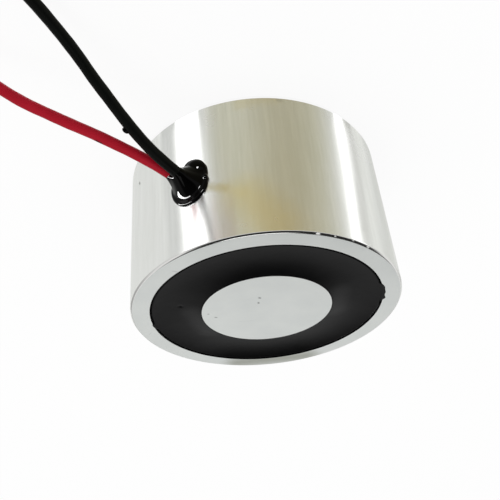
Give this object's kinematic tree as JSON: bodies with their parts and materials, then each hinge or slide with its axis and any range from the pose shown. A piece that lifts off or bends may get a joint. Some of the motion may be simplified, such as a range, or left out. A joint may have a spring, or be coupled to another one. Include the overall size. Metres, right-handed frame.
{
  "type": "holding electromagnet",
  "caption": "Round holding electromagnet: plated steel pot with a flat centre pole, black potting resin round it, a tapped hole in the back, and a red and a black lead from its wall.",
  "frame": {"origin": "centre of the back face, on the surface that the magnet stands on", "axes": "+Z through the pole face, +X out through the lead hole"},
  "size_m": [0.1128, 0.05, 0.03],
  "materials": {
    "plated_steel": "satin",
    "bobbin_nylon": "satin",
    "copper_winding": "satin",
    "polyester_tape": "satin",
    "enamelled_wire": "gloss",
    "solder": "satin",
    "shrink_sleeve": "satin",
    "potting_resin": "satin",
    "lead_seal": "gloss",
    "red_insulation": "satin",
    "black_insulation": "satin",
    "coiled_leads": "satin",
    "tie_plastic": "matte"
  },
  "bodies": {
    "root": {"magnet_pot": "plated_steel", "bobbin": "bobbin_nylon", "coil_winding": "copper_winding", "winding_tape": "polyester_tape", "start_wire": "enamelled_wire", "finish_wire": "enamelled_wire", "red_splice_joint": "solder", "black_splice_joint": "solder", "red_splice_sleeve": "shrink_sleeve", "black_splice_sleeve": "shrink_sleeve", "potting_resin": "potting_resin", "lead_seal": "lead_seal", "red_lead": "red_insulation", "black_lead": "black_insulation", "lead_coil": "coiled_leads", "lead_tie": "tie_plastic"}
  },
  "joints": []
}
